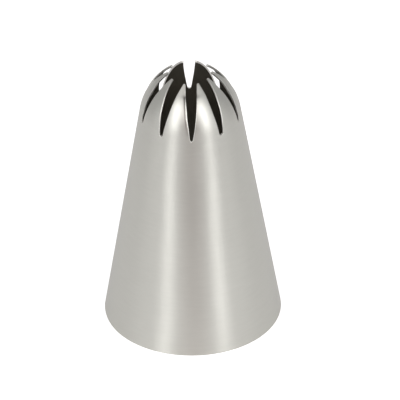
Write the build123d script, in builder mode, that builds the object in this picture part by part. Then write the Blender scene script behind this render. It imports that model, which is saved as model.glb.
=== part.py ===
"""A closed-star piping nozzle: a cone of thin stainless sheet whose narrow end is slit into
ten teeth, which are bent inwards to a dome and leave a star-shaped outlet between their tips.

The sheet is modelled as its formed zones: the rim band, the cone and the ten teeth, which
meet face to face. Millimetres. The origin is the centre of the rim that the nozzle stands
on, and +Z runs along the axis to the outlet. One slit faces -Y.
"""

import os
from math import atan2, cos, radians, sin

from build123d import *

# The sheet
wall = 0.3

# The cone, measured outside, from the rim up to the shoulder where the dome begins
rim_diameter = 25.0
shoulder_diameter = 13.9
shoulder_height = 32.5

# The rim band, and the broken corners of its cut edge
rim_band_height = 1.2
rim_corner_radius = 0.06

# The dome that the teeth are bent to, from the shoulder up to their tips
dome_height = 6.1

# The teeth and the slits between them
tooth_count = 10
tooth_tip_width = 0.29
tip_round_share = 0.4  # of the tip's width inside: the radius of its two corners
slit_width = 1.55  # between the upper parts of two teeth
slit_root_width = 0.5  # where the rounded lower end of a slit begins
slit_root_drop = 0.4  # from the shoulder down to that place
slit_flare_height = 5.2  # from there up to where a slit has its full width

# How far a cutting shape runs past what it cuts
overrun = 1.0

rim_radius = rim_diameter / 2
shoulder_radius = shoulder_diameter / 2
nozzle_height = shoulder_height + dome_height
slit_root_level = shoulder_height - slit_root_drop
tooth_pitch = 360 / tooth_count
first_slit_direction = -90

# Two slits leave a tooth just its tip's width at this distance from the axis.
tip_radius = (slit_width + tooth_tip_width) / 2 / sin(radians(tooth_pitch / 2))

# The dome's line is one arc that carries on from the cone's line without a kink. The angle
# between its chord and the cone's line is half the angle that the arc turns through.
cone_lean = atan2(rim_radius - shoulder_radius, shoulder_height)
chord_lean = atan2(shoulder_radius - tip_radius, dome_height)
tip_lean = 2 * chord_lean - cone_lean

# Each outside point has its inside point one wall away, square to the sheet.
rim_outside = (rim_radius, 0)
shoulder_outside = (shoulder_radius, shoulder_height)
tip_outside = (tip_radius, nozzle_height)
shoulder_inside = (
    shoulder_radius - wall * cos(cone_lean),
    shoulder_height - wall * sin(cone_lean),
)
tip_inside = (
    tip_radius - wall * cos(tip_lean),
    nozzle_height - wall * sin(tip_lean),
)
rim_inside = (rim_radius - wall / cos(cone_lean), 0)

# A tip is narrower inside, where the slits are as wide but nearer to the axis.
tip_inside_width = 2 * tip_inside[0] * sin(radians(tooth_pitch / 2)) - slit_width
tip_corner_radius = tip_inside_width * tip_round_share


def wall_section(plane):
    """The sheet cut through the axis, drawn on a plane that holds the axis: a leaning
    straight strip that turns into two arcs about one centre."""
    with BuildSketch(plane) as section:
        with BuildLine():
            cone_outside = Line(rim_outside, shoulder_outside)
            TangentArc(shoulder_outside, tip_outside, tangent=cone_outside % 1)
            Line(tip_outside, tip_inside)
            cone_inside = Line(rim_inside, shoulder_inside)
            TangentArc(shoulder_inside, tip_inside, tangent=cone_inside % 1)
            Line(rim_inside, rim_outside)
        make_face()
    return section.sketch


def slit_outline(plane):
    """A slit seen square on, on a plane whose Y runs up the axis: a rounded root, sides
    that flare in an arc to the full width, and straight sides from there past the tips."""
    flare_top = slit_root_level + slit_flare_height
    above_tips = flare_top + dome_height + overrun
    with BuildSketch(plane) as outline:
        with BuildLine():
            Line((slit_width / 2, above_tips), (slit_width / 2, flare_top))
            flare = TangentArc(
                (slit_width / 2, flare_top),
                (slit_root_width / 2, slit_root_level),
                tangent=(0, -1),
            )
            Line((0, above_tips), (slit_width / 2, above_tips))
            mirror(about=Plane.YZ)
            TangentArc(
                (slit_root_width / 2, slit_root_level),
                (-slit_root_width / 2, slit_root_level),
                tangent=flare % 1,
            )
        make_face()
    return outline.sketch


def slit_direction(number):
    """The angle about the axis, in degrees, of the slit on the right of each tooth."""
    return first_slit_direction + tooth_pitch * number


def meridian(direction):
    """The plane that holds the axis and looks across it, with X pointing outwards in this
    direction and Y up the axis."""
    outwards = Vector(1, 0, 0).rotate(Axis.Z, direction)
    return Plane(origin=(0, 0, 0), x_dir=outwards, z_dir=outwards.cross(Vector(0, 0, 1)))


def facing(direction):
    """The plane through the axis that looks outwards in this direction, with Y up the
    axis."""
    outwards = Vector(1, 0, 0).rotate(Axis.Z, direction)
    return Plane(origin=(0, 0, 0), x_dir=Vector(0, 0, 1).cross(outwards), z_dir=outwards)


def cut_slit(direction):
    """Cuts one slit from the axis outwards through the part being built."""
    extrude(slit_outline(facing(direction)), amount=rim_radius, mode=Mode.SUBTRACT)


os.makedirs("parts", exist_ok=True)

# The rim band: the lowest strip of the cone, cut square to the axis and deburred
with BuildPart() as base_rim:
    revolve(wall_section(Plane.XZ), axis=Axis.Z)
    split(bisect_by=Plane.XY.offset(rim_band_height), keep=Keep.BOTTOM)
    fillet(base_rim.edges().group_by(Axis.Z)[0], radius=rim_corner_radius)
base_rim.part.label = "base_rim"
export_step(base_rim.part, "parts/base_rim.step")

# The cone: the plain tapered wall, with the rounded lower ends of the slits in its top
with BuildPart() as cone_body:
    revolve(wall_section(Plane.XZ), axis=Axis.Z)
    split(bisect_by=Plane.XY.offset(rim_band_height), keep=Keep.TOP)
    split(bisect_by=Plane.XY.offset(slit_root_level), keep=Keep.BOTTOM)
    for number in range(tooth_count):
        cut_slit(slit_direction(number))
cone_body.part.label = "cone_body"
export_step(cone_body.part, "parts/cone_body.step")

# The teeth: each is the strip of the dome between two slits, with a rounded tip
for number in range(tooth_count):
    with BuildPart() as tooth:
        revolve(
            wall_section(meridian(slit_direction(number))),
            axis=Axis.Z,
            revolution_arc=tooth_pitch,
        )
        split(bisect_by=Plane.XY.offset(slit_root_level), keep=Keep.TOP)
        cut_slit(slit_direction(number))
        cut_slit(slit_direction(number + 1))
        tip_face = tooth.faces().sort_by(Axis.Z)[-1]
        tip_corners = tip_face.edges().filter_by(GeomType.CIRCLE, reverse=True)
        fillet(tip_corners, radius=tip_corner_radius)
    tooth_name = f"tooth_{number + 1:02}"
    tooth.part.label = tooth_name
    export_step(tooth.part, f"parts/{tooth_name}.step")
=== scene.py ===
"""The looks of a closed-star piping nozzle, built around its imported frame: one sheet of brushed
stainless steel, standing on its rim in a white studio.

Lengths are in metres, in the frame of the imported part: the origin is the centre of the rim that
the nozzle stands on, +Z runs up the axis to the star outlet, and one slit faces -Y.
"""

from math import acos, atan2, cos, hypot, pi, radians, sin, tan

import bmesh
import bpy
import numpy as np
from mathutils import Matrix, Vector


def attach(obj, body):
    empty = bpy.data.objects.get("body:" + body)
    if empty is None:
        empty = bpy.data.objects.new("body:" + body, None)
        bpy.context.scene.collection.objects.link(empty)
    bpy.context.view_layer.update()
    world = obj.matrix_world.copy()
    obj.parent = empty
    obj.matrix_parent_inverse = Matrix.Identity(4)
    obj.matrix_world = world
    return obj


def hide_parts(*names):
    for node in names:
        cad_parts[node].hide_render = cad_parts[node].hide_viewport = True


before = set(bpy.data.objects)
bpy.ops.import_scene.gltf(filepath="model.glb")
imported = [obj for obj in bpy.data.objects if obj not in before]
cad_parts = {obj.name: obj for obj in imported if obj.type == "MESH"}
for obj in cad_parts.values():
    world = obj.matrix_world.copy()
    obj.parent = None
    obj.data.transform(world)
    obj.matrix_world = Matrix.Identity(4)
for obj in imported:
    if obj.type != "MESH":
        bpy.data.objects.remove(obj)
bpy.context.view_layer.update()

# The rim band. The whole nozzle is one thin sheet of stainless steel, pressed to a cone and
# then brushed on a turning mandrel. Its wide end is trimmed square and lightly deburred all
# round, and the nozzle stands on that cut edge.
mm = 0.001
wall = 0.3 * mm
rim_radius = 12.5 * mm
rim_band_height = 1.2 * mm
rim_corner_radius = 0.06 * mm
shoulder_radius = 6.95 * mm
shoulder_height = 32.5 * mm
cone_lean = atan2(rim_radius - shoulder_radius, shoulder_height)

tooth_count = 10
pitch = 2 * pi / tooth_count
first_slit_direction = -pi / 2
tooth_middles = first_slit_direction + pitch * (np.arange(tooth_count) + 0.5)

# Columns of the sheet's grid between two slits, from -1 to 1, closer together at the slits
skin_columns = 25
column_shares = np.sin(np.linspace(-pi / 2, pi / 2, skin_columns))

merge_distance = 0.0002 * mm
sharp_edge_angle = radians(40)


def cone_radius(height, depth):
    """The cone's distance from the axis: the rim's radius less the height times the tangent
    of the lean, and less the depth into the sheet over the cosine of the lean."""
    return rim_radius - height * tan(cone_lean) - depth / cos(cone_lean)


def around_axis(radius, angle, height):
    """Points in space: radius times the cosine and the sine of the angle, and the height."""
    radius, angle, height = np.broadcast_arrays(radius, angle, height)
    return np.stack([radius * np.cos(angle), radius * np.sin(angle), height], axis=-1)


def grid_faces(rows, columns, first, joined):
    """The four-sided faces of a grid of points that are numbered row by row: each joins a
    point, the next one in its row, and the two beside them in the next row. Where the grid is
    joined, its last row or column is followed by its first."""
    numbers = first + np.arange(rows * columns).reshape(rows, columns)
    if "rows" in joined:
        numbers = np.concatenate([numbers, numbers[:1]])
    if "columns" in joined:
        numbers = np.concatenate([numbers, numbers[:, :1]], axis=1)
    corners = [numbers[:-1, :-1], numbers[:-1, 1:], numbers[1:, 1:], numbers[1:, :-1]]
    return np.stack(corners, axis=-1).reshape(-1, 4)


def sheet_piece(name, node, grids, flat_ends=(), painted_darkness=()):
    """One closed piece of the sheet. A grid is (points, finishes, joined), with the number of
    one of the three steel finishes for each of its faces, or one for all of them. A flat end
    is the points of one face. The painted darkness is how dark each point of the first grid is
    painted, from 0 to 1: painted shade for a fold or a crease. Equal points are merged and the
    faces turned outwards, and the mesh is shaded smooth between its sharp edges."""
    points, faces, finishes = [], [], []
    count = 0
    for grid, finish, joined in grids:
        rows, columns = grid.shape[:2]
        made = grid_faces(rows, columns, count, joined)
        points.append(grid.reshape(-1, 3))
        faces.extend(made.tolist())
        finishes.append(np.broadcast_to(finish, len(made)))
        count += rows * columns
    for end in flat_ends:
        points.append(end)
        faces.append(list(range(count, count + len(end))))
        finishes.append([cut_finish])
        count += len(end)
    mesh = bpy.data.meshes.new(name)
    mesh.from_pydata(np.concatenate(points).tolist(), [], faces)
    mesh.polygons.foreach_set("material_index", np.concatenate(finishes).astype(np.int32))
    mesh.polygons.foreach_set("use_smooth", np.ones(len(faces), bool))
    # Painted shade: how dark each point of the first grid is painted, kept as a point attribute
    # that the steel reads
    painted_darkness_points = np.zeros(len(mesh.vertices), np.float32)
    painted_darkness_points[: np.size(painted_darkness)] = np.ravel(painted_darkness)
    mesh.attributes.new("painted_shade", "FLOAT", "POINT").data.foreach_set("value", painted_darkness_points)
    solid = bmesh.new()
    solid.from_mesh(mesh)
    bmesh.ops.remove_doubles(solid, verts=solid.verts, dist=merge_distance)
    bmesh.ops.recalc_face_normals(solid, faces=solid.faces)
    solid.to_mesh(mesh)
    solid.free()
    mesh.set_sharp_from_angle(angle=sharp_edge_angle)
    for finish in steel_finishes:
        mesh.materials.append(finish)
    piece = bpy.data.objects.new(name, mesh)
    bpy.context.scene.collection.objects.link(piece)
    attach(piece, "root")
    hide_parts(node)


def computed(tree, operation, *given):
    """The output of a new math node in a node tree. Each given value is a number or the output
    of another node."""
    node = tree.nodes.new("ShaderNodeMath")
    node.operation = operation
    for socket, value in zip(node.inputs, given):
        if isinstance(value, bpy.types.NodeSocket):
            tree.links.new(value, socket)
        else:
            socket.default_value = value
    return node.outputs[0]


# The sheet's slow waves: each one's depth, its length up the axis, negative where it slants the
# other way, and where it starts, in degrees. The slant is how far all of them wind round.
hollow_slant = 2.5
hollow_waves = [
    (0.02 * mm, 50 * mm, 0),
    (0.038 * mm, -50 * mm, 105),
    (0.027 * mm, 25 * mm, -70),
    (0.013 * mm, 15 * mm, -40),
    (0.012 * mm, -15 * mm, 160),
]


def soft_hollows_group():
    """The slight unevenness of a sheet pressed by hand, as a depth in metres: a sum of slow
    waves. Each is its depth times the sine of one angle: the slant times the sine of the way
    round from the front, plus a full turn for each wavelength up the axis, plus its start."""
    group = bpy.data.node_groups.new("soft_hollows", "ShaderNodeTree")
    group.interface.new_socket("Depth", in_out="OUTPUT", socket_type="NodeSocketFloat")
    result = group.nodes.new("NodeGroupOutput")
    place = group.nodes.new("ShaderNodeTexCoord")
    parts = group.nodes.new("ShaderNodeSeparateXYZ")
    group.links.new(place.outputs["Object"], parts.inputs[0])
    square = computed(group, "MULTIPLY", parts.outputs["X"], parts.outputs["X"])
    square = computed(group, "MULTIPLY_ADD", parts.outputs["Y"], parts.outputs["Y"], square)
    way_round = computed(group, "DIVIDE", parts.outputs["X"], computed(group, "SQRT", square))
    depth = 0.0
    for wave_depth, wavelength, start in hollow_waves:
        per_metre = 2 * pi / wavelength
        angle = computed(group, "MULTIPLY_ADD", parts.outputs["Z"], per_metre, radians(start))
        angle = computed(group, "MULTIPLY_ADD", way_round, hollow_slant, angle)
        depth = computed(group, "MULTIPLY_ADD", computed(group, "SINE", angle), wave_depth, depth)
    group.links.new(depth, result.inputs["Depth"])
    return group


soft_hollows = soft_hollows_group()

# The brush: how close its lines lie, how often they break off in a turn, and how the way up the
# wall counts the distance from the axis, so that the lines also differ on the level dome
lines_per_metre = 2500
breaks_per_turn = 4.0
radius_share = -0.5


def brushed_lines_group():
    """Fine lines that run round the axis, as a brush leaves them on a turning part: noise that
    is drawn out along the angle and changes fast up the wall. Its place is the direction from
    the axis times the breaks per turn, and the way up the wall times the lines per metre. The
    way up the wall is the height plus a share of the distance from the axis."""
    group = bpy.data.node_groups.new("brushed_lines", "ShaderNodeTree")
    group.interface.new_socket("Lines per metre", in_out="INPUT", socket_type="NodeSocketFloat")
    group.interface.new_socket("Breaks per turn", in_out="INPUT", socket_type="NodeSocketFloat")
    group.interface.new_socket("Line", in_out="OUTPUT", socket_type="NodeSocketFloat")
    nodes, links = group.nodes, group.links
    given = nodes.new("NodeGroupInput")
    result = nodes.new("NodeGroupOutput")
    place = nodes.new("ShaderNodeTexCoord")
    parts = nodes.new("ShaderNodeSeparateXYZ")
    links.new(place.outputs["Object"], parts.inputs[0])
    level = nodes.new("ShaderNodeCombineXYZ")
    links.new(parts.outputs["X"], level.inputs["X"])
    links.new(parts.outputs["Y"], level.inputs["Y"])
    radius = nodes.new("ShaderNodeVectorMath")
    radius.operation = "LENGTH"
    links.new(level.outputs[0], radius.inputs[0])
    direction = nodes.new("ShaderNodeVectorMath")
    direction.operation = "NORMALIZE"
    links.new(level.outputs[0], direction.inputs[0])
    drawn_out = nodes.new("ShaderNodeVectorMath")
    drawn_out.operation = "SCALE"
    links.new(direction.outputs[0], drawn_out.inputs[0])
    links.new(given.outputs["Breaks per turn"], drawn_out.inputs["Scale"])
    up_wall = computed(
        group, "MULTIPLY_ADD", radius.outputs["Value"], radius_share, parts.outputs["Z"]
    )
    raised = nodes.new("ShaderNodeCombineXYZ")
    lines = computed(group, "MULTIPLY", up_wall, given.outputs["Lines per metre"])
    links.new(lines, raised.inputs["Z"])
    noise_place = nodes.new("ShaderNodeVectorMath")
    noise_place.operation = "ADD"
    links.new(drawn_out.outputs[0], noise_place.inputs[0])
    links.new(raised.outputs[0], noise_place.inputs[1])
    noise = nodes.new("ShaderNodeTexNoise")
    noise.inputs["Scale"].default_value = 1.0
    noise.inputs["Detail"].default_value = 4.0
    links.new(noise_place.outputs[0], noise.inputs["Vector"])
    links.new(noise.outputs["Fac"], result.inputs["Line"])
    return group


brushed_lines = brushed_lines_group()

# How much of the steel's colour is left in the darkest painted shade of a fold or a crease
painted_shade = 0.2


def steel(name, colour, colour_swing, roughness, roughness_swing, stretch, edge_tint, line_depth):
    """Stainless steel with fine lines round the axis, which change its colour and roughness by
    a share and its surface by a depth, and with soft hollows. Its colour is darkened by painted
    shade where a point attribute marks the shade of a fold or a crease. The lines spread a
    reflection up and down the wall, so the shader's tangent points up the wall: it is the cross
    product of the normal and the way round the axis, and that is the cross product of the axis
    and the place."""
    material = bpy.data.materials.new(name)
    material.use_nodes = True
    nodes, links = material.node_tree.nodes, material.node_tree.links
    shader = nodes["Principled BSDF"]
    shader.inputs["Metallic"].default_value = 1.0
    shader.inputs["Anisotropic"].default_value = stretch
    shader.inputs["Specular Tint"].default_value = (edge_tint, edge_tint, edge_tint, 1)
    lines = nodes.new("ShaderNodeGroup")
    lines.node_tree = brushed_lines
    lines.inputs["Lines per metre"].default_value = lines_per_metre
    lines.inputs["Breaks per turn"].default_value = breaks_per_turn
    tone = nodes.new("ShaderNodeMix")
    tone.data_type = "RGBA"
    tone.inputs["A"].default_value = (*[part * (1 - colour_swing) for part in colour], 1)
    tone.inputs["B"].default_value = (*[part * (1 + colour_swing) for part in colour], 1)
    links.new(lines.outputs["Line"], tone.inputs["Factor"])
    # Painted shade: the point attribute darkens the colour in a fold and a crease, in place of
    # their shade
    painted_shade_mask = nodes.new("ShaderNodeAttribute")
    painted_shade_mask.attribute_name = "painted_shade"
    painted_shade_mix = nodes.new("ShaderNodeMix")
    painted_shade_mix.data_type = "RGBA"
    painted_shade_mix.inputs["B"].default_value = (*[part * painted_shade for part in colour], 1)
    links.new(painted_shade_mask.outputs["Fac"], painted_shade_mix.inputs["Factor"])
    links.new(tone.outputs["Result"], painted_shade_mix.inputs["A"])
    links.new(painted_shade_mix.outputs["Result"], shader.inputs["Base Color"])
    dullness = nodes.new("ShaderNodeMapRange")
    dullness.inputs["To Min"].default_value = roughness * (1 - roughness_swing)
    dullness.inputs["To Max"].default_value = roughness * (1 + roughness_swing)
    links.new(lines.outputs["Line"], dullness.inputs["Value"])
    links.new(dullness.outputs["Result"], shader.inputs["Roughness"])
    hollows = nodes.new("ShaderNodeGroup")
    hollows.node_tree = soft_hollows
    tree, line, hollow = material.node_tree, lines.outputs["Line"], hollows.outputs["Depth"]
    raised = computed(tree, "MULTIPLY_ADD", line, line_depth, hollow)
    relief = nodes.new("ShaderNodeBump")
    relief.inputs["Distance"].default_value = 1.0
    links.new(raised, relief.inputs["Height"])
    links.new(relief.outputs["Normal"], shader.inputs["Normal"])
    place = nodes.new("ShaderNodeTexCoord")
    way_round = nodes.new("ShaderNodeVectorMath")
    way_round.operation = "CROSS_PRODUCT"
    way_round.inputs[0].default_value = (0, 0, 1)
    links.new(place.outputs["Object"], way_round.inputs[1])
    up_wall = nodes.new("ShaderNodeVectorMath")
    up_wall.operation = "CROSS_PRODUCT"
    links.new(place.outputs["Normal"], up_wall.inputs[0])
    links.new(way_round.outputs[0], up_wall.inputs[1])
    links.new(up_wall.outputs[0], shader.inputs["Tangent"])
    return material


# The three finishes of the sheet: its brushed outside, its duller inside darkened with painted
# shade, and its cut edges
outside_finish, inside_finish, cut_finish = 0, 1, 2
steel_finishes = [
    steel(
        "brushed_outside",
        colour=(0.62, 0.615, 0.575),
        colour_swing=0.04,
        roughness=0.34,
        roughness_swing=0.1,
        stretch=0.5,
        edge_tint=0.9,
        line_depth=0.001 * mm,
    ),
    # The inside's colour, a third of the outside's, is painted shade for the dark interior of the
    # cone; its higher roughness is its duller finish
    steel(
        "dull_painted_shade_inside",
        colour=(0.21, 0.195, 0.16),
        colour_swing=0.1,
        roughness=0.6,
        roughness_swing=0.1,
        stretch=0.3,
        edge_tint=0.5,
        line_depth=0.0008 * mm,
    ),
    steel(
        "bright_cut",
        colour=(0.66, 0.65, 0.62),
        colour_swing=0.04,
        roughness=0.3,
        roughness_swing=0.1,
        stretch=0.0,
        edge_tint=1.0,
        line_depth=0.0004 * mm,
    ),
]


rim_wall_rows = 9
rim_corner_rows = 7


def rim_profile():
    """The rim band cut through the axis, as distances from the axis and heights: down the
    outside, round two small corners to the flat edge between them, and up the inside. A corner
    is its centre plus its radius times the cosine and the sine of the turn."""
    heights = np.linspace(rim_band_height, 2 * rim_corner_radius, rim_wall_rows)
    outer_turns = np.linspace(cone_lean, -pi / 2, rim_corner_rows)
    inner_turns = np.linspace(-pi / 2, cone_lean - pi, rim_corner_rows)
    outer_centre = cone_radius(rim_corner_radius, rim_corner_radius)
    inner_centre = cone_radius(rim_corner_radius, wall - rim_corner_radius)
    corners = np.concatenate([outer_turns, inner_turns])
    centres = np.repeat([outer_centre, inner_centre], len(outer_turns))
    radii = [
        cone_radius(heights, 0),
        centres + rim_corner_radius * np.cos(corners),
        cone_radius(heights[::-1], wall),
    ]
    levels = [heights, rim_corner_radius * (1 + np.sin(corners)), heights[::-1]]
    return np.concatenate(radii), np.concatenate(levels)


rim_radii, rim_levels = rim_profile()
ring_angles = (tooth_middles[:, None] + pitch / 2 * column_shares[:-1]).ravel()
rim_grid = around_axis(rim_radii[:, None], ring_angles, rim_levels[:, None])
rim_finishes = np.repeat([outside_finish, inside_finish], rim_wall_rows + rim_corner_rows)
rim_finishes = np.repeat(rim_finishes, len(ring_angles))
sheet_piece("rim_band", "base_rim", [(rim_grid, rim_finishes, "rows and columns")])

# The cone: the plain tapered wall of the same sheet, above the rim band. Ten slits are punched
# down into its narrow end, and the rounded lower end of each one shows here as a notch.
slit_root_height = 32.1 * mm
slit_root_width = 0.5 * mm
slit_width = 1.55 * mm
slit_flare_height = 5.2 * mm
flare_top = slit_root_height + slit_flare_height
slit_widening = (slit_width - slit_root_width) / 2
flare_radius = (slit_widening**2 + slit_flare_height**2) / (2 * slit_widening)
slit_lean = atan2(slit_flare_height, flare_radius - slit_widening)
root_radius = slit_root_width / 2 / cos(slit_lean)
root_centre_height = slit_root_height + root_radius * sin(slit_lean)


def slit_half_width(height, inset):
    """Half the slit's width, grown into the metal by the inset: a small circle at its lower
    end, a large circle that flares above it, and straight sides above the flare."""
    below_top = np.clip(flare_top - height, 0, slit_flare_height)
    flare = np.sqrt((flare_radius + inset) ** 2 - below_top**2) - flare_radius + slit_width / 2
    root = np.sqrt(np.maximum((root_radius + inset) ** 2 - (root_centre_height - height) ** 2, 0))
    return np.where(height > slit_root_height, flare, root)


# Hand marks of the punching: how far the left and the right edge of each slit lie to the right
# of their even places near its lower end, and how far that end has run down. Those of the slits
# in view are set one by one, the front slit being number 0.
root_marks = np.random.default_rng(3)
root_shifts = root_marks.uniform(-0.03, 0.03, (tooth_count, 2)) * mm
root_drops = root_marks.uniform(0, 0.06, tooth_count) * mm
root_shifts[0], root_drops[0] = (0.09 * mm, -0.09 * mm), 0.25 * mm
root_shifts[9], root_drops[9] = (0.11 * mm, 0), 0.1 * mm
root_shifts[1], root_drops[1] = (-0.1 * mm, 0), 0.03 * mm
root_shifts[2], root_drops[2] = (0.08 * mm, -0.1 * mm), -0.12 * mm
root_shifts[8], root_drops[8] = (0.1 * mm, -0.04 * mm), -0.06 * mm
root_drops[5] = 0.16 * mm
root_mark_width = 0.6 * mm
root_mark_height = 1.0 * mm
root_mark_middle = 0.08 * mm

# How far each slit lies off its even place round the axis, to the right, and the places of the
# slits round from the front one, with that one again at the end
slit_turns = np.zeros(tooth_count + 1)
slit_turns[2], slit_turns[8] = radians(-3.3), radians(1.3)
slit_places = pitch * np.arange(tooth_count + 1)


def around_slits(radius, angle, height):
    """Points in space as around the axis, moved along the sheet by the marks of the slit that
    they are near. The marks fade as e to the minus square of the way round to the slit and of
    the height from its lower end, and the left mark gives way to the right one over the slit's
    middle. Then each point turns as the two slits beside it do, by its share of the way from
    one to the other, times its share of the way up the cone."""
    radius, angle, height = np.broadcast_arrays(radius, angle, height)
    turned, dropped = 0, 0
    for number in range(tooth_count):
        from_slit = angle - first_slit_direction - pitch * number
        arc = ((from_slit + pi) % (2 * pi) - pi) * radius
        above = height - slit_root_height
        near = np.exp(-((arc / root_mark_width) ** 2) - (above / root_mark_height) ** 2)
        right_share = (1 + arc / np.hypot(arc, root_mark_middle)) / 2
        left_shift, right_shift = root_shifts[number]
        shift = left_shift * (1 - right_share) + right_shift * right_share
        turned = turned + near * shift / radius
        dropped = dropped + near * root_drops[number]
    from_front = (angle - first_slit_direction) % (2 * pi)
    up_cone = (height - rim_band_height) / (slit_root_height - rim_band_height)
    turned = turned + np.interp(from_front, slit_places, slit_turns) * np.clip(up_cone, 0, 1)
    return around_axis(radius + dropped * tan(cone_lean), angle + turned, height - dropped)


# Across a slit's cut edge, from the outside skin to the inside one: a flat facet that the brush
# leaves, a small round nose, the cut wall and the round inside corner. For the points on the
# facet and the nose, the share of the facet that is left, and how far the nose has turned.
cut_edge_nose = 0.03 * mm
cut_edge_facet = 0.05 * mm
facet_lean = radians(20)
facet_left = np.array([1, 0.55, 0, 0, 0, 0, 0])
nose_turns = np.concatenate([[facet_lean] * 2, np.linspace(facet_lean, pi / 2, 5)])
corner_turns = np.linspace(pi / 2, 0, 5)

# Once round a tooth's section: along the outside skin, over one edge, back along the inside
# skin and over the other edge. Where each point lies, from 0 at the left edge to 1 at the right
edge_points = len(nose_turns) + len(corner_turns) - 2
way_across = (1 + column_shares) / 2
loop_across = [way_across, np.ones(edge_points), way_across[::-1], np.zeros(edge_points)]
loop_across = np.concatenate(loop_across)


def edge_profile(facet, nose):
    """How far in from the cut wall and how deep in the sheet the points across an edge lie: a
    straight line along the facet, a quarter round of the nose's radius, and the same quarter
    round at the inside corner."""
    facet, nose = np.asarray(facet)[..., None], np.asarray(nose)[..., None]
    outer_inset = facet * facet_left + nose * (1 - np.sin(nose_turns))
    facet_depth = facet * (1 - facet_left) * tan(facet_lean)
    outer_depth = facet_depth + nose * (cos(facet_lean) - np.cos(nose_turns))
    inner_inset = nose * (1 - np.sin(corner_turns))
    inner_depth = wall - nose * (1 - np.cos(corner_turns))
    inset = np.concatenate([outer_inset, inner_inset], axis=-1)
    depth = np.concatenate([outer_depth, inner_depth], axis=-1)
    return inset, depth


def round_the_section(left, right, outside, inside):
    """Arranges values for the points of a tooth's section: those across its left and right
    edges, from the outside skin inwards, and those along its two skins."""
    return np.concatenate(
        [outside, right[..., 1:-1], inside[..., ::-1], left[..., -2:0:-1]], axis=-1
    )


def flat_end(loop):
    """Closes the end of a tooth-shaped section whose points go once round it: a strip of
    faces from the outside skin to the inside one, and one face at each cut edge."""
    inside_start = skin_columns + edge_points
    inside_end = inside_start + skin_columns
    outside, inside = loop[:skin_columns], loop[inside_start:inside_end][::-1]
    right_end = loop[skin_columns - 1 : inside_start + 1]
    left_end = np.concatenate([loop[inside_end - 1 :], loop[:1]])
    return (np.stack([outside, inside]), cut_finish, ""), [right_end, left_end]


def section_loop(number):
    """The level section through one tooth's foot, where the teeth stand on the cone. It ends
    at the slits: half the pitch less the arc sine of the slit's half width over the radius."""
    inset, depth = edge_profile(cut_edge_facet, cut_edge_nose)
    skin = np.ones(skin_columns)
    inset = round_the_section(inset, inset, skin * inset[0], skin * inset[-1])
    depth = round_the_section(depth, depth, skin * depth[0], skin * depth[-1])
    radius = cone_radius(slit_root_height, depth)
    half_angle = pitch / 2 - np.arcsin(slit_half_width(np.array(slit_root_height), inset) / radius)
    angle = tooth_middles[number] + (2 * loop_across - 1) * half_angle
    return around_slits(radius, angle, slit_root_height)


cone_rows = 48
notch_rows = 9
edge_finishes = np.repeat([outside_finish, cut_finish], [2, edge_points - 1])


def cone_grids():
    """The cone's two skins, in a sector for each tooth, then the cut walls of the notches, and
    the ring that stands on the rim band. A sector narrows at its notch as the circle of the
    slit's lower end does, and a notch's wall is the edge's profile carried along that circle."""
    inset, depth = edge_profile(cut_edge_facet, cut_edge_nose)
    shares = np.linspace(0, 1, notch_rows)
    grids = []
    for skin_inset, skin_depth, finish in (
        (inset[0], 0, outside_finish),
        (inset[-1], wall, inside_finish),
    ):
        grown_root = root_radius + skin_inset
        top_turn = acos((root_centre_height - slit_root_height) / grown_root)
        notch = root_centre_height - grown_root * np.cos(shares * top_turn)
        plain = np.linspace(rim_band_height, notch[0], cone_rows)[:-1]
        heights = np.concatenate([plain, notch])
        radius = cone_radius(heights, skin_depth)
        half_angle = pitch / 2 - np.arcsin(slit_half_width(heights, skin_inset) / radius)
        for middle in tooth_middles:
            angle = middle + half_angle[:, None] * column_shares
            grids.append((around_slits(radius[:, None], angle, heights[:, None]), finish, ""))
    grown = root_radius + inset
    end_turns = np.arccos((root_centre_height - slit_root_height) / grown)
    turns = np.concatenate([-shares[:0:-1], shares])[:, None] * end_turns
    height = root_centre_height - grown * np.cos(turns)
    radius = cone_radius(height, depth)
    across = np.arcsin(grown * np.sin(turns) / radius)
    for middle in tooth_middles:
        angle = middle - pitch / 2 + across
        notch_finishes = np.tile(edge_finishes, len(turns) - 1)
        grids.append((around_slits(radius, angle, height), notch_finishes, ""))
    foot = cone_radius(rim_band_height, np.array([0, wall]))[:, None]
    grids.append((around_axis(foot, ring_angles, rim_band_height), cut_finish, "columns"))
    return grids


cone_parts, cone_ends = cone_grids(), []
for number in range(tooth_count):
    strip, ends = flat_end(section_loop(number))
    cone_parts.append(strip)
    cone_ends += ends
sheet_piece("cone_wall", "cone_body", cone_parts, cone_ends)

# The teeth: the ten strips that the slits leave, bent inwards together in a rounded die, so
# that their outsides lie on one dome. Their tips are rounded and stop short of each other.
# The dome's line turns as far again from its chord as the chord does from the cone's line.
nozzle_height = 38.6 * mm
tip_width = 0.29 * mm
tip_radius = (slit_width + tip_width) / 2 / sin(pitch / 2)
tip_lean = 2 * atan2(shoulder_radius - tip_radius, nozzle_height - shoulder_height) - cone_lean
dome_chord = hypot(shoulder_radius - tip_radius, nozzle_height - shoulder_height)
dome_radius = dome_chord / 2 / sin((tip_lean - cone_lean) / 2)
dome_centre = shoulder_radius - dome_radius * cos(cone_lean)
dome_centre_height = shoulder_height - dome_radius * sin(cone_lean)
foot_way = (slit_root_height - shoulder_height) / cos(cone_lean)
tip_way = dome_radius * (tip_lean - cone_lean)
tip_rounding = 0.11 * mm
tip_narrowing_share = 0.75
tip_roll = 0.06 * mm
tip_edge_share = 0.35

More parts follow.
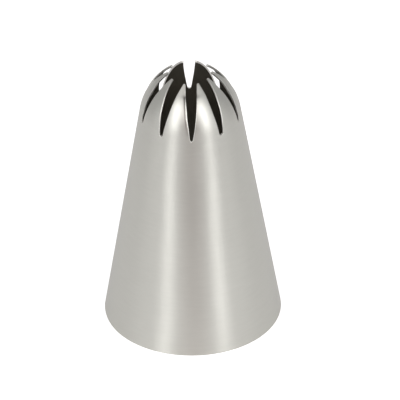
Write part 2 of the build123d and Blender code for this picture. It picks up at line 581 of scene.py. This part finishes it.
# Hand marks of the forming. Of each tooth's left and right edge: how wide its facet is, how far
# the edge stands out into the slit, and how much narrower it is at the tip. Of each tooth: how
# far its tip has swung to its right, how flat it is across, how far it is twisted, how much
# shorter it is, and the way up at which its bend ends. Tooth 0 lies on the right of the front
# slit and tooth 9 on its left, and what differs from the even draws is set for those in view.
marks = np.random.default_rng(7)
facet_widths = marks.uniform(0.04, 0.08, (tooth_count, 2)) * mm
overhangs = marks.uniform(0, 0.03, (tooth_count, 2)) * mm
tip_cuts = np.zeros((tooth_count, 2))
swings = marks.uniform(-0.04, 0.04, tooth_count) * mm
flatness = marks.uniform(0.04, 0.1, tooth_count)
twists = marks.uniform(-1, 1, tooth_count) * radians(1)
shortenings = marks.uniform(0, 0.05, tooth_count) * mm
bend_ends = np.full(tooth_count, tip_way)
facet_widths[9, 1], overhangs[9, 1], swings[9] = 0.21 * mm, 0.14 * mm, 0.2 * mm
facet_widths[8, 1], overhangs[8, 1] = 0.12 * mm, 0.14 * mm
facet_widths[1, 0], overhangs[1, 0] = 0.12 * mm, 0.1 * mm
overhangs[1, 1], overhangs[2, 0] = 0.1 * mm, 0.25 * mm
overhangs[8, 0], overhangs[7, 1] = 0.05 * mm, 0.3 * mm
facet_widths[0, 0], swings[0], twists[0] = 0.07 * mm, 0.12 * mm, radians(1.5)
shortenings[9], shortenings[0], shortenings[4] = 0.23 * mm, 0.23 * mm, 0
bend_ends[9], bend_ends[0] = 0.73 * tip_way, 0.74 * tip_way
tip_cuts[9], tip_cuts[0] = (0.16 * mm, 0.05 * mm), (0, 0.18 * mm)

# Where the marks lie on a tooth: the ways from its foot over which the facets, the overhangs
# and the flatness rise, and as shares of the way to its tip, where the overhangs are gone, over
# how much they fall, and where the narrower tip starts
facet_rise = 3.4 * mm
overhang_rise = 1.6 * mm
lift_rise = 4.5 * mm
overhang_end_share = 0.8
overhang_fall_share = 0.35
tip_cut_start = 0.7

# The painted shade of the fold down the right edge of one tooth, a dark line in its colour beside
# the turned edge: how far in it lies, how wide it is at its top, the share of that at its foot,
# and where it ends as a share of the way to the tip. There, where the bend of the two front teeth
# ends, painted shade of a crease crosses them, dark at the edges beside the front slit: how dark
# at each edge, how high and how long it is.
painted_fold_tooth = 9
painted_fold_inset = 0.16 * mm
painted_fold_width = 0.15 * mm
painted_fold_foot_share = 0.45
painted_fold_top_share = 0.72
painted_fold_end_share = 0.015
painted_crease_darkness = np.zeros((tooth_count, 2))
painted_crease_darkness[9, 1], painted_crease_darkness[0, 0] = 0.45, 0.4
painted_crease_height = 0.3 * mm
painted_crease_length = 0.55 * mm

tooth_rows = 61
tip_rows = 7


def eased(share):
    """A smooth step from 0 to 1: three squares less two cubes of the share."""
    share = np.clip(share, 0, 1)
    return share**2 * (3 - 2 * share)


def dome_line(way, depth, bend_end):
    """Distance from the axis and height of the sheet, by the way up its outside from the
    shoulder: an arc about the dome's centre, turned by the way over the dome's radius, and
    straight lines that carry on from it below the shoulder and above the end of the bend."""
    bent = np.clip(way, 0, bend_end)
    lean = cone_lean + bent / dome_radius
    radius = dome_centre + (dome_radius - depth) * np.cos(lean) - (way - bent) * np.sin(lean)
    height = dome_centre_height + (dome_radius - depth) * np.sin(lean) + (way - bent) * np.cos(lean)
    return radius, height


def tooth_edge(way, half_width, facet_width, overhang, tip_cut):
    """One cut edge of a tooth, by the way up: its points' insets from the slit's even side and
    their depths. The facet grows from the foot in a smooth step and stays under a share of the
    tooth's width, the overhang is a smooth step up from the foot times one down before the
    tip, and the tip's cut is a smooth step up to the tip."""
    facet = cut_edge_facet + eased((way - foot_way) / facet_rise) * (facet_width - cut_edge_facet)
    facet = np.minimum(facet, tip_edge_share * half_width)
    nose = np.minimum(cut_edge_nose, tip_edge_share / 2 * half_width)
    inset, depth = edge_profile(facet, nose)
    way_share = way / tip_way
    falling = eased((overhang_end_share - way_share) / overhang_fall_share)
    swollen = eased((way - foot_way) / overhang_rise) * falling
    narrowed = eased((way_share - tip_cut_start) / (1 - tip_cut_start))
    return inset + (narrowed * tip_cut - swollen * overhang)[:, None], depth


def tooth_grid(number):
    """One tooth: its section carried up the dome's line from its level foot to its tip. Each
    point's angle from the tooth's middle is its share of the way to the slit's side. Over the
    last stretch the section narrows and thins as a quarter round. A flatter or twisted section
    lies outwards by the square of the way across, or by the way across itself, and a swung tip
    is turned by the cube of the way up. Also how dark each point is painted: painted shade of the
    fold and of the crease beside each edge, which fade as e to the minus square of the distance."""
    rounding_way = tip_way - shortenings[number] - tip_rounding
    plain = np.linspace(foot_way, rounding_way, tooth_rows)
    tip_turns = np.linspace(0, pi / 2, tip_rows + 1)[1:]
    way = np.concatenate([plain, rounding_way + tip_rounding * np.sin(tip_turns)])
    closing = np.concatenate([0 * plain, 1 - np.cos(tip_turns)])[:, None]
    outer_radius, outer_height = dome_line(way, 0, bend_ends[number])
    half_width = outer_radius * pitch / 2 - slit_half_width(outer_height, 0)
    edges = [
        tooth_edge(way, half_width, *edge_marks)
        for edge_marks in zip(facet_widths[number], overhangs[number], tip_cuts[number])
    ]
    (left_inset, left_depth), (right_inset, right_depth) = edges
    skin = np.ones((len(way), skin_columns))
    depth = round_the_section(left_depth, right_depth, 0 * skin, wall * skin)
    inward = np.where(depth > wall / 2, -1, 1)
    depth = depth + inward * closing * tip_roll
    left_inset, right_inset = [
        round_the_section(inset, inset, skin * inset[:, :1], skin * inset[:, -1:])
        for inset in (left_inset, right_inset)
    ]

    outer_radius, half_width = outer_radius[:, None], half_width[:, None]
    rise = np.clip((way - foot_way) / lift_rise, 0, 1)[:, None]
    way = way[:, None]
    across = 2 * loop_across - 1
    sagitta = outer_radius * (1 - np.cos(half_width / outer_radius))
    lifted = flatness[number] * sagitta * across**2 - twists[number] * half_width * across
    depth = depth - rise * lifted
    level_share = np.clip(way / foot_way, 0, 1)
    way_inside = way + level_share * depth * tan(cone_lean)
    radius, height = dome_line(way_inside, depth, bend_ends[number])
    left_angle = pitch / 2 - np.arcsin(slit_half_width(height, left_inset) / radius)
    right_angle = pitch / 2 - np.arcsin(slit_half_width(height, right_inset) / radius)
    narrowed = 1 - tip_narrowing_share * closing
    swing = swings[number] * (np.clip(way, 0, None) / tip_way) ** 3 / outer_radius[-1]
    angle = loop_across * right_angle * narrowed - (1 - loop_across) * left_angle * narrowed + swing
    points = around_slits(radius, tooth_middles[number] + angle, height)
    points[0] = section_loop(number)

    width = (left_angle + right_angle) * radius
    from_left = loop_across * width + left_inset
    from_right = (1 - loop_across) * width + right_inset
    # Painted shade: a dark line down the fold and a dark crease, as how dark each point is painted,
    # not as shape
    below_top = 1 / (1 + np.exp((way / tip_way - painted_fold_top_share) / painted_fold_end_share))
    up_fold = np.clip(way / tip_way / painted_fold_top_share, 0, 1)
    tapered_width = painted_fold_width * (painted_fold_foot_share + (1 - painted_fold_foot_share) * up_fold**3)
    narrow = np.exp(-(((from_right - painted_fold_inset) / tapered_width) ** 2))
    painted_shade_mask = (number == painted_fold_tooth) * narrow * below_top * np.sqrt(up_fold)
    level = np.exp(-(((way - painted_fold_top_share * tip_way) / painted_crease_height) ** 2))
    left_painted_crease, right_painted_crease = [
        darkness_share * level * np.exp(-((from_side / painted_crease_length) ** 2))
        for darkness_share, from_side in zip(painted_crease_darkness[number], (from_left, from_right))
    ]
    return points, np.clip(painted_shade_mask + left_painted_crease + right_painted_crease, 0, 1)


# The finishes of the faces once round a tooth's section, from the outside skin's left edge
skin_faces = np.full(skin_columns - 1, outside_finish)
loop_finishes = np.concatenate(
    [skin_faces, edge_finishes, skin_faces + inside_finish, edge_finishes[::-1]]
)
for number in range(tooth_count):
    grid, painted_darkness = tooth_grid(number)
    foot, foot_ends = flat_end(grid[0])
    tip, tip_ends = flat_end(grid[-1])
    finishes = np.tile(loop_finishes, len(grid) - 1)
    grids = [(grid, finishes, "columns"), foot, tip]
    name, node = f"bent_tooth_{number + 1:02}", f"tooth_{number + 1:02}"
    sheet_piece(name, node, grids, foot_ends + tip_ends, painted_darkness)

# The studio: a glossy white table, softly lit from below, in a white tent. Two tall softboxes
# glow through the tent, one on each side of the camera, with a wide lamp behind the camera,
# which looks in through a dark opening. None of it is part of the nozzle.
scene = bpy.context.scene
table_half_width = 1.5
table_mesh = bpy.data.meshes.new("white_table")
table_corners = table_half_width * np.array([[-1, -1, 0], [1, -1, 0], [1, 1, 0], [-1, 1, 0]])
table_mesh.from_pydata(table_corners.tolist(), [], [(0, 1, 2, 3)])
table = bpy.data.objects.new("white_table", table_mesh)
scene.collection.objects.link(table)

# The table's own glow in the middle, and how far from there it has halved. Its lamps end between
# two distances towards the camera, and beyond them this share of the glow is left. The camera's
# exposure shows the table with another glow, at which it is just white.
table_glow = 0.285
table_glow_radius = 0.22
lamps_full = 60 * mm
lamps_end = 130 * mm
front_glow_share = 0.25
shown_table_glow = 0.72


def light_table(material):
    """White acrylic. Its own glow fades with the distance from the middle: the glow over one
    plus the square of the distance over the glow's radius. It fades further towards the
    camera, in a smooth step. The camera sees it white all over, and sees through it from
    below."""
    tree = material.node_tree
    shader = tree.nodes["Principled BSDF"]
    shader.inputs["Base Color"].default_value = (0.8, 0.8, 0.8, 1)
    shader.inputs["Roughness"].default_value = 0.2
    place = tree.nodes.new("ShaderNodeTexCoord")
    distance = tree.nodes.new("ShaderNodeVectorMath")
    distance.operation = "LENGTH"
    tree.links.new(place.outputs["Object"], distance.inputs[0])
    away = computed(tree, "DIVIDE", distance.outputs["Value"], table_glow_radius)
    fading = computed(tree, "MULTIPLY_ADD", away, away, 1.0)
    brightness = computed(tree, "DIVIDE", table_glow, fading)
    parts = tree.nodes.new("ShaderNodeSeparateXYZ")
    tree.links.new(place.outputs["Object"], parts.inputs[0])
    front = tree.nodes.new("ShaderNodeMapRange")
    front.interpolation_type = "SMOOTHSTEP"
    front.inputs["From Min"].default_value = -lamps_end
    front.inputs["From Max"].default_value = -lamps_full
    front.inputs["To Min"].default_value = front_glow_share
    front.inputs["To Max"].default_value = 1.0
    tree.links.new(parts.outputs["Y"], front.inputs["Value"])
    brightness = computed(tree, "MULTIPLY", brightness, front.outputs["Result"])
    seen = tree.nodes.new("ShaderNodeLightPath")
    shown = tree.nodes.new("ShaderNodeMix")
    shown.inputs["B"].default_value = shown_table_glow
    tree.links.new(seen.outputs["Is Camera Ray"], shown.inputs["Factor"])
    tree.links.new(brightness, shown.inputs["A"])
    tree.links.new(shown.outputs["Result"], shader.inputs["Emission Color"])
    shader.inputs["Emission Strength"].default_value = 1.0
    side = tree.nodes.new("ShaderNodeNewGeometry")
    camera_ray = seen.outputs["Is Camera Ray"]
    from_below = computed(tree, "MULTIPLY", side.outputs["Backfacing"], camera_ray)
    tree.links.new(computed(tree, "SUBTRACT", 1.0, from_below), shader.inputs["Alpha"])


white_table = bpy.data.materials.new("white_table")
white_table.use_nodes = True
table_mesh.materials.append(white_table)
light_table(white_table)


# The tent's even brightness, and its brighter patches: the softboxes, the wide lamp behind the
# camera and the softboxes' spill low beside them. Each is how bright it is, then where it lies,
# as a centre, a width and for some a flat distance, in degrees away from the camera's side and
# above the table. The camera's opening and the warmer light round it lie by such values too.
tent_level = 0.5
tent_patches = [
    (2.35, (37, 14.7), (12.5, 37.5, 24)),
    (1.6, (0, 79), (30.5, 17.5)),
    (0.68, (66, 34), (0, 27)),
]
camera_opening = (0, 21.5), (0, 35)
warm_turn = (0, 28)
warm_tint = (1.14, 0.94, 0.91, 1)


def bell(tree, value, centre, width, flat=0):
    """A smooth bump in degrees: 1 up to the flat distance from its centre, and 0 from a width
    away from it."""
    away = computed(tree, "ABSOLUTE", computed(tree, "SUBTRACT", value, radians(centre)))
    shape = tree.nodes.new("ShaderNodeMapRange")
    shape.interpolation_type = "SMOOTHSTEP"
    shape.inputs["From Min"].default_value = radians(width)
    shape.inputs["From Max"].default_value = radians(flat)
    tree.links.new(away, shape.inputs["Value"])
    return shape.outputs["Result"]


def light_tent(tree):
    """The tent's brightness by direction: its even level plus soft patches, each a bump in the
    angle away from the camera's side times one in the height above the table, and less light
    where the camera looks in. The camera itself sees plain white."""
    place = tree.nodes.new("ShaderNodeTexCoord")
    parts = tree.nodes.new("ShaderNodeSeparateXYZ")
    tree.links.new(place.outputs["Generated"], parts.inputs[0])
    backwards = computed(tree, "MULTIPLY", parts.outputs["Y"], -1)
    turn = computed(tree, "ABSOLUTE", computed(tree, "ARCTAN2", parts.outputs["X"], backwards))
    height = computed(tree, "ARCSINE", parts.outputs["Z"])
    brightness = tent_level
    for strength, turn_bell, height_bell in tent_patches:
        beside, above = bell(tree, turn, *turn_bell), bell(tree, height, *height_bell)
        patch = computed(tree, "MULTIPLY", beside, above)
        brightness = computed(tree, "MULTIPLY_ADD", patch, strength, brightness)
    turn_bell, height_bell = camera_opening
    beside, above = bell(tree, turn, *turn_bell), bell(tree, height, *height_bell)
    opening = computed(tree, "MULTIPLY", beside, above)
    closed = computed(tree, "SUBTRACT", 1.0, opening)
    brightness = computed(tree, "MULTIPLY", brightness, closed)
    tint = tree.nodes.new("ShaderNodeMix")
    tint.data_type = "RGBA"
    tint.inputs["A"].default_value = (1, 1, 1, 1)
    tint.inputs["B"].default_value = warm_tint
    tree.links.new(bell(tree, turn, *warm_turn), tint.inputs["Factor"])
    coloured = tree.nodes.new("ShaderNodeVectorMath")
    coloured.operation = "SCALE"
    tree.links.new(tint.outputs["Result"], coloured.inputs[0])
    tree.links.new(brightness, coloured.inputs["Scale"])
    seen = tree.nodes.new("ShaderNodeLightPath")
    shown = tree.nodes.new("ShaderNodeMix")
    shown.data_type = "RGBA"
    shown.inputs["B"].default_value = (1, 1, 1, 1)
    tree.links.new(seen.outputs["Is Camera Ray"], shown.inputs["Factor"])
    tree.links.new(coloured.outputs[0], shown.inputs["A"])
    tree.links.new(shown.outputs["Result"], tree.nodes["Background"].inputs["Color"])


world = bpy.data.worlds.new("white_tent")
world.use_nodes = True
scene.world = world
light_tent(world.node_tree)

# The camera: a long lens, about a third of a right angle above the table, turned a little past
# the front slit and rolled a little, with the nozzle slightly off the frame's middle. All its
# values were fitted to the outline and the slits in the photograph.
camera_elevation = radians(33.0)
camera_turn = radians(0.82)
camera_roll = radians(0.79)
camera_distance = 503 * mm
aim_height = 20 * mm
camera_data = bpy.data.cameras.new("photo_camera")
camera_data.sensor_width = 36
camera_data.lens = 326.2
camera_data.shift_x = 0.0217
camera_data.shift_y = -0.03485
camera_data.clip_start = 0.05
camera_data.clip_end = 10
camera = bpy.data.objects.new("photo_camera", camera_data)
level = cos(camera_elevation)
towards = Vector((-sin(camera_turn) * level, -cos(camera_turn) * level, sin(camera_elevation)))
level_right = Vector((cos(camera_turn), -sin(camera_turn), 0))
level_up = towards.cross(level_right)
right = level_right * cos(camera_roll) - level_up * sin(camera_roll)
up = level_up * cos(camera_roll) + level_right * sin(camera_roll)
turned = Matrix((right, up, towards)).transposed().to_4x4()
place = Vector((0, 0, aim_height)) + towards * camera_distance
camera.matrix_world = Matrix.Translation(place) @ turned
scene.collection.objects.link(camera)
scene.camera = camera

scene.view_settings.view_transform = "Standard"
scene.view_settings.look = "None"
